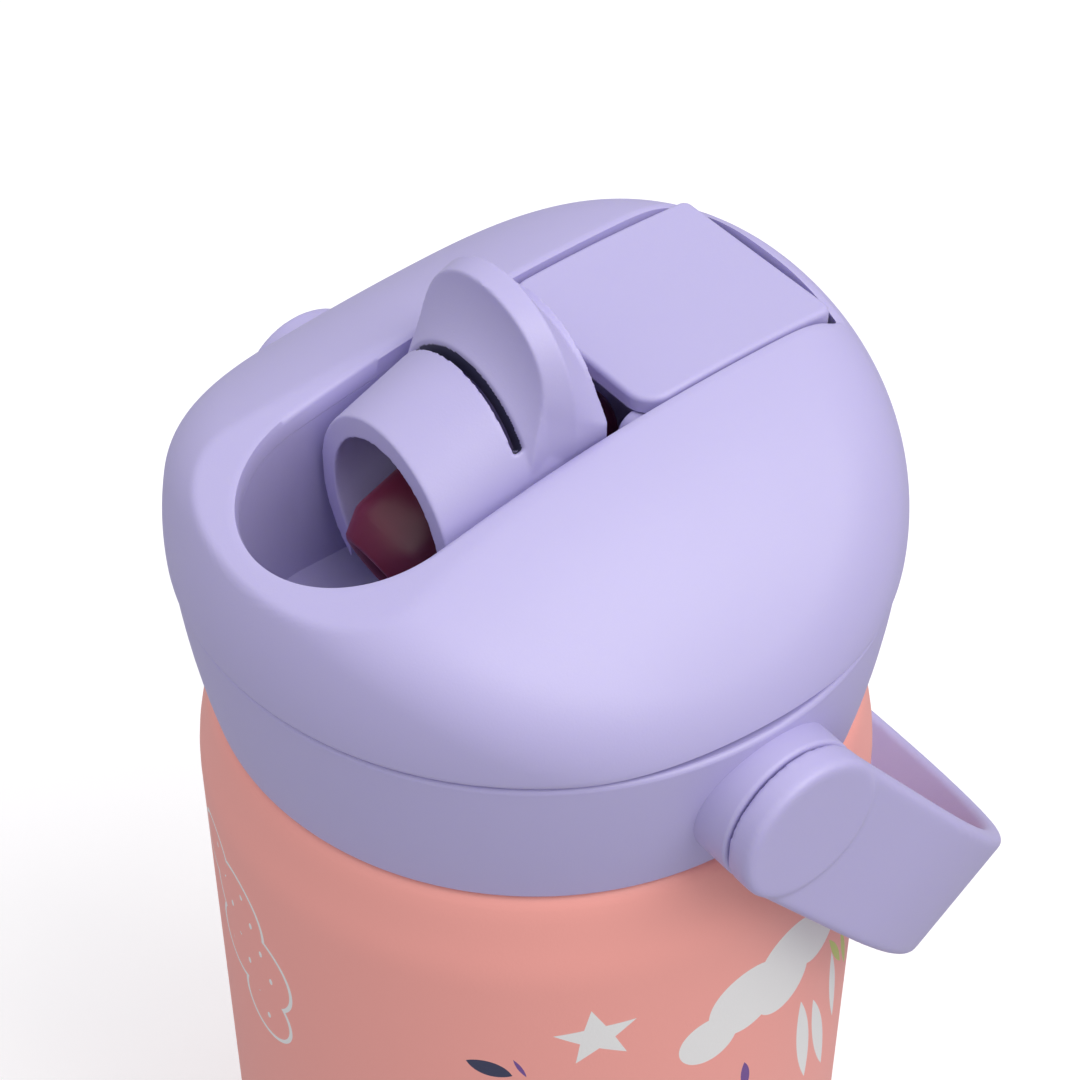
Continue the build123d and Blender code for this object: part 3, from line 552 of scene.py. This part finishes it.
def dome_mesh(steps=96, rows=58):
    """The dome as one closed sheet: over the rim and crown, down into the slot, and back underneath."""
    places, ways = slot_loop(steps)
    inset, lift = 2.6, 3.0
    count = len(places)
    origins = np.column_stack([places + inset * ways, np.full(count, dome_z + lift)])

    def solid(x, y, z):
        form = meeting(dome_skin(x, y, z), dome_z - z, rim_blend)
        return meeting(form, -slot_distance(x, y), slot_blend)

    def hollow(x, y, z):
        return np.maximum(dome_skin(x, y, z) + dome_wall, dome_z - z)

    along = (places * ways).sum(1)
    rim = -along + np.sqrt(np.maximum(along ** 2 - (places ** 2).sum(1) + rim_radius ** 2, 0)) - inset
    first = np.arctan2(-lift, rim - 1.0)
    heights = reach_of(lambda x, y, z: dome_skin(x, y, z) + dome_wall,
                       np.column_stack([places, np.full(count, dome_z)]),
                       np.tile([0.0, 0.0, 1.0], (count, 1)), 40.0)
    last = np.arctan2(heights - lift, -inset)

    def curve(form, share):
        angle = first + (last - first) * share
        direction = np.column_stack([ways * np.cos(angle)[:, None], np.sin(angle)])
        reach = reach_of(form, origins, direction, 60.0)
        return origins + direction * reach[:, None]

    shares = np.linspace(0, 1, rows)
    eased = np.concatenate([np.linspace(0, 0.1, 10, endpoint=False), 0.1 + 0.9 * shares])
    over = [curve(solid, share) for share in eased]
    under = [curve(hollow, share) for share in np.linspace(1, 0, rows // 2)]
    rings = over + under
    vertices = np.concatenate(rings)
    faces = [(j * count + i, j * count + (i + 1) % count, ((j + 1) % len(rings)) * count + (i + 1) % count,
              ((j + 1) % len(rings)) * count + i) for j in range(len(rings)) for i in range(count)]
    return [tuple(v) for v in vertices], faces


plate_top = body_top + 14.1
spigot = lathe([(34.25, plate_top), (34.25, dome_z + 0.2), (35.4, dome_z + 0.2), (35.4, dome_z + 1.2),
                (32.4, dome_z + 1.2), (32.4, plate_top)], 160)
dome = new_piece("lid_dome", *joined(dome_mesh(), spigot), "lid", "lid_plastic", lid_plastic, smooth=50)
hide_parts("dome_cover")

# ---------------------------------------------------------------- flip spout
# One moulding in the lid's lavender plastic: a short open barrel that shields the mouthpiece, a hollowed
# ridge that a fingertip pushes, a narrow slit between the two, and two arms that turn on the hinge pins.


def softened(node, name, body, material, voxel, passes):
    """A close-knit copy of a CAD piece with its edges eased all round."""
    piece = bpy.data.objects.new(name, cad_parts[node].data.copy())
    bpy.context.scene.collection.objects.link(piece)
    knit = piece.modifiers.new("knit", "REMESH")
    knit.mode, knit.voxel_size = "VOXEL", voxel * mm
    ease = piece.modifiers.new("ease", "SMOOTH")
    ease.factor, ease.iterations = 0.5, passes
    bpy.context.view_layer.update()
    eased = bpy.data.meshes.new_from_object(piece.evaluated_get(bpy.context.evaluated_depsgraph_get()))
    piece.modifiers.clear()
    piece.data = eased
    eased.name = name
    eased.materials.clear()
    eased.materials.append(material)
    eased.shade_smooth()
    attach(piece, body)
    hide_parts(node)
    return piece


spout_shell = softened("flip_spout", "spout_shell", "spout", lid_plastic, 0.2, 5)
spout_tilt = math.radians(23.0)
mouth_y, mouth_h = -18.2, 27.6
barrel_radius, slit_front, slit_rear, slit_half = 10.8, -9.4, -8.3, math.radians(53.0)
# Painted shade: the faces inside the narrow slit are coloured near-black to stand for the shadow in the gap.
painted_slit_shade = plastic_material("painted_slit_shade", (0.03, 0.028, 0.085), 0.6)
spout_shell.data.materials.append(painted_slit_shade)
for face in spout_shell.data.polygons:
    x, y, z = face.center / mm
    up = (z - collar_z - mouth_h - (y - mouth_y) * math.tan(spout_tilt)) * math.cos(spout_tilt)
    deep = math.hypot(x, up) < barrel_radius - 0.35 and up > 0
    if deep and slit_front - 0.15 < y < slit_rear + 0.15 and abs(math.atan2(x, up)) < slit_half + 0.06:
        face.material_index = 1

# ---------------------------------------------------------------- handle
# A flat strap of the same plastic, bowed into a loop, with a round disc at each end. A stud behind each disc
# turns in the collar's boss, so the loop swings from the back of the bottle over the lid to the front.
handle_loop = softened("handle_bail", "handle_loop", "handle", lid_plastic, 0.36, 3)

# ---------------------------------------------------------------- hinge pins
# Two short ground steel pins, pressed through the well's walls into the spout's arms.
pin_steel = steel_material("ground_pin_steel", (0.62, 0.61, 0.6), 0.25, 0.15)
for name in ("hinge_pin_left", "hinge_pin_right"):
    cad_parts[name].data.materials.clear()
    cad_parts[name].data.materials.append(pin_steel)

# ---------------------------------------------------------------- silicone mouthpiece and neck
# Dark berry silicone, slightly see-through at its edges, where its colour is also painted lighter as painted
# rim light.
# The mouthpiece sits in the barrel with a broad bevelled tip; behind it the same silicone narrows to a neck
# that bends down to the straw and folds when the spout opens.
berry = (0.085, 0.012, 0.030)


def silicone_material(name, colour, painted_rim_light, roughness=0.32):
    """Soft silicone: deep colour with a slow cloudiness, light passing a little way in, and painted rim light
    that lightens the colour where it is seen edge-on.
    """
    material, tree, shader = new_material(name, colour)
    patches = grained(tree, shader, cell=0.6, relief=0.015, roughness=roughness, spread=0.08)
    # Painted rim light: the colour turns lighter where the surface is seen edge-on, by the facing weight.
    facing = add_node(tree, "ShaderNodeLayerWeight", {"Blend": 0.35})
    clouded = painted(tree, patches, (*colour, 1.0), (*[c * 1.35 for c in colour], 1.0))
    painted_rim_colour = painted(tree, facing.outputs["Facing"], clouded, (*painted_rim_light, 1.0))
    tree.links.new(painted_rim_colour, shader.inputs["Base Color"])
    shader.inputs["Subsurface Weight"].default_value = 0.35
    shader.inputs["Subsurface Radius"].default_value = (1.0, 0.25, 0.3)
    shader.inputs["Subsurface Scale"].default_value = 2.0 * mm
    shader.inputs["Specular IOR Level"].default_value = 0.45
    return material


# Its last colour is the painted rim light at the edges seen edge-on.
berry_silicone = silicone_material("berry_silicone", berry, (0.30, 0.02, 0.06))
tilt = spout_tilt
mouth_drop = 5.6
bore_axis = Vector((0.0, math.cos(tilt), math.sin(tilt)))
up_axis = Vector((0.0, -math.sin(tilt), math.cos(tilt)))
mouth_point = Vector((0.0, mouth_y, collar_z + mouth_h - mouth_drop))


def tube_mesh(stations, points=64, corner=2.0):
    """A skin through rounded sections, each (centre, across, up, half width, half height)."""
    vertices, faces = [], []
    for centre, across, up, half_w, half_h in stations:
        for k in range(points):
            t = tau * k / points
            c, s = math.cos(t), math.sin(t)
            scale = (abs(c) ** corner + abs(s) ** corner) ** (-1 / corner)
            vertices.append(centre + across * (half_w * c * scale) + up * (half_h * s * scale))
    count = len(stations)
    for j in range(count):
        for k in range(points):
            here, following = j * points, ((j + 1) % count) * points
            beside = (k + 1) % points
            faces.append((here + k, here + beside, following + beside, following + k))
    return vertices, faces


across_axis = Vector((1.0, 0.0, 0.0))
outer_mouth = [(-0.9, 3.6), (-1.15, 4.0), (-1.15, 4.4), (-0.9, 4.75), (1.2, 5.75), (1.6, 5.92),
               (2.2, 6.0), (5.0, 6.0),
               (9.0, 6.0), (10.2, 5.6), (11.2, 4.6), (12.4, 3.7), (13.6, 3.4), (17.4, 3.4)]
inner_mouth = [(17.4, 2.3), (12.0, 2.3), (6.0, 2.3), (2.0, 2.6), (0.2, 3.0)]
stations = [(mouth_point + bore_axis * s, across_axis, up_axis, r, r) for s, r in outer_mouth + inner_mouth]
bite_piece = new_piece("bite_mouthpiece", *tube_mesh(stations, 72, 2.6), "spout", "silicone_dark",
                       berry_silicone, 40)
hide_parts("mouthpiece")

tube_outer, tube_inner, neck_bend = 3.4, 2.3, 4.2
tube_y = 0.3 + neck_bend * (1 + math.sin(tilt))
corner = Vector((0.0, tube_y, mouth_point.z + (tube_y - mouth_y) * math.tan(tilt)))
plate_z = body_top + 12.1


def neck_route(steps=18):
    """Centre line from the mouthpiece round the bend and down into the well's floor, with its direction."""
    turn = math.pi / 2 + tilt
    back = neck_bend * math.tan(turn / 2)
    start = corner - bore_axis * back
    centre = start - up_axis * neck_bend
    route = [(start - bore_axis * 0.4, bore_axis)]
    for k in range(steps + 1):
        angle = turn * k / steps
        spot = centre + up_axis * (neck_bend * math.cos(angle)) + bore_axis * (neck_bend * math.sin(angle))
        way = bore_axis * math.cos(angle) - up_axis * math.sin(angle)
        route.append((spot, way))
    end = route[-1][0]
    for k in range(1, 8):
        route.append((Vector((0.0, tube_y, end.z + (plate_z - end.z) * k / 7)), Vector((0.0, 0.0, -1.0))))
    return route


def neck_mesh():
    route = neck_route()
    walls = [(spot, across_axis, way.cross(across_axis), tube_outer, tube_outer) for spot, way in route]
    bore = [(spot, across_axis, way.cross(across_axis), tube_inner, tube_inner)
            for spot, way in reversed(route)]
    return tube_mesh(walls + bore, 48, 2.0)


neck_flange = lathe([(tube_outer - 0.3, plate_top + 0.05), (4.25, plate_top + 0.05), (4.3, plate_top + 0.3),
                     (4.2, plate_top + 0.9), (3.9, plate_top + 1.2), (tube_outer - 0.3, plate_top + 1.2)], 64,
                    (0.0, tube_y))
silicone_neck = new_piece("silicone_neck", *joined(neck_mesh(), neck_flange), None, "silicone_dark",
                          berry_silicone)
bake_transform(silicone_neck)
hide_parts("mouthpiece_neck")

# ---------------------------------------------------------------- gasket, vent valve and straw
# A milky silicone ring seals the lid on the steel lip, and a mushroom valve lets air in as the child drinks.
# The straw is a milky stiff tube pushed into the socket under the plate, over the joiner that holds the neck.
# Its last colour is the painted rim light at the edges seen edge-on.
milky_silicone = silicone_material("milky_silicone", (0.72, 0.73, 0.74), (0.85, 0.86, 0.88), 0.4)
for name in ("lid_gasket", "vent_valve"):
    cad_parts[name].data.materials.clear()
    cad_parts[name].data.materials.append(milky_silicone)


def straw_material():
    """Stiff food-grade plastic, milky and glossy, with faint lengthwise extrusion lines."""
    material, tree, shader = new_material("straw_plastic", (0.78, 0.8, 0.83))
    place = add_node(tree, "ShaderNodeTexCoord")
    stretched = add_node(tree, "ShaderNodeMapping", {"Vector": place.outputs["Object"],
                                                     "Scale": (2600, 2600, 20)})
    lines = add_node(tree, "ShaderNodeTexNoise", {"Vector": stretched.outputs[0], "Scale": 1.0,
                                                  "Detail": 2.0})
    bump = add_node(tree, "ShaderNodeBump", {"Height": lines.outputs["Fac"], "Distance": 0.02 * mm})
    tree.links.new(bump.outputs["Normal"], shader.inputs["Normal"])
    tree.links.new(sums(tree, "MULTIPLY_ADD", lines.outputs["Fac"], 0.1, 0.16), shader.inputs["Roughness"])
    tree.links.new(painted(tree, lines.outputs["Fac"], (0.80, 0.82, 0.85, 1), (0.72, 0.75, 0.80, 1)),
                   shader.inputs["Base Color"])
    shader.inputs["Subsurface Weight"].default_value = 0.3
    shader.inputs["Subsurface Scale"].default_value = 1.5 * mm
    return material


straw_plastic = straw_material()
for name in ("straw", "straw_joiner"):
    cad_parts[name].data.materials.clear()
    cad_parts[name].data.materials.append(straw_plastic)

# ---------------------------------------------------------------- stage, lights and camera
# A plain pale studio: one level floor, a surround that is brighter overhead, a broad key lamp from the right
# and above, and the camera looking down on the lid.


def floor_material():
    material, tree, shader = new_material("pale_floor", (0.9, 0.9, 0.9))
    grain = use_group(tree, surface_grain, Cell=6.0)
    tone = painted(tree, grain.outputs["Patches"], (0.93, 0.93, 0.93, 1), (0.915, 0.915, 0.92, 1))
    seen = add_node(tree, "ShaderNodeLightPath").outputs["Is Camera Ray"]
    tree.links.new(painted(tree, seen, (0.45, 0.45, 0.47, 1.0), tone), shader.inputs["Base Color"])
    shader.inputs["Emission Color"].default_value = (1.0, 1.0, 1.0, 1.0)
    tree.links.new(sums(tree, "MULTIPLY", seen, 0.14), shader.inputs["Emission Strength"])
    shader.inputs["Roughness"].default_value = 0.9
    shader.inputs["Specular IOR Level"].default_value = 0.1
    return material


half_floor = 1500.0
corners = [(half_floor * i, half_floor * j, 0) for i, j in ((-1, -1), (1, -1), (1, 1), (-1, 1))]
floor = new_piece("floor", corners, [(0, 1, 2, 3)], None, "lid_plastic", floor_material())

world = bpy.data.worlds.new("studio_surround")
world.use_nodes = True
sky = world.node_tree
way_up = add_node(sky, "ShaderNodeSeparateXYZ", {0: add_node(sky, "ShaderNodeTexCoord").outputs["Generated"]})
overhead = add_node(sky, "ShaderNodeMapRange", {"Value": way_up.outputs["Z"], "From Min": 0.0,
                                                "From Max": 1.0, "To Min": 0.48, "To Max": 1.05},
                    interpolation_type="SMOOTHSTEP")
seen = add_node(sky, "ShaderNodeLightPath").outputs["Is Camera Ray"]
brightness = add_node(sky, "ShaderNodeMix", {0: seen, 2: overhead.outputs[0], 3: 1.0})
sky.links.new(brightness.outputs[0], sky.nodes["Background"].inputs["Strength"])
sky.nodes["Background"].inputs["Color"].default_value = (0.97, 0.975, 1.0, 1.0)
bpy.context.scene.world = world


def area_lamp(name, place, size, power, colour=(1.0, 1.0, 1.0)):
    """A soft square lamp in metres, facing the lid."""
    lamp = bpy.data.lights.new(name, "AREA")
    lamp.size, lamp.energy, lamp.color = size, power, colour
    holder = bpy.data.objects.new(name, lamp)
    holder.location = place
    holder.rotation_mode = "QUATERNION"
    holder.rotation_quaternion = (Vector((0, 0, 0.14)) - Vector(place)).to_track_quat("-Z", "Y")
    bpy.context.scene.collection.objects.link(holder)


area_lamp("key_lamp", (0.60, 0.20, 0.95), 0.7, 4.6, (1.0, 0.985, 0.95))

azimuth, height, distance = math.radians(52.3), 340.9 * mm, 202.39 * mm
yaw, pitch = 0.0021, 0.7643
camera_data = bpy.data.cameras.new("camera")
camera_data.sensor_width = 36.0
camera_data.lens = 91.49
camera_data.clip_start, camera_data.clip_end = 0.01, 20.0
camera = bpy.data.objects.new("camera", camera_data)
camera.location = (distance * math.sin(azimuth), -distance * math.cos(azimuth), height)
heading = azimuth - yaw
look = Vector((-math.sin(heading) * math.cos(pitch), math.cos(heading) * math.cos(pitch), -math.sin(pitch)))
camera.rotation_mode = "QUATERNION"
camera.rotation_quaternion = look.to_track_quat("-Z", "Y")
bpy.context.scene.collection.objects.link(camera)
bpy.context.scene.camera = camera
bpy.context.scene.view_settings.view_transform = "Standard"
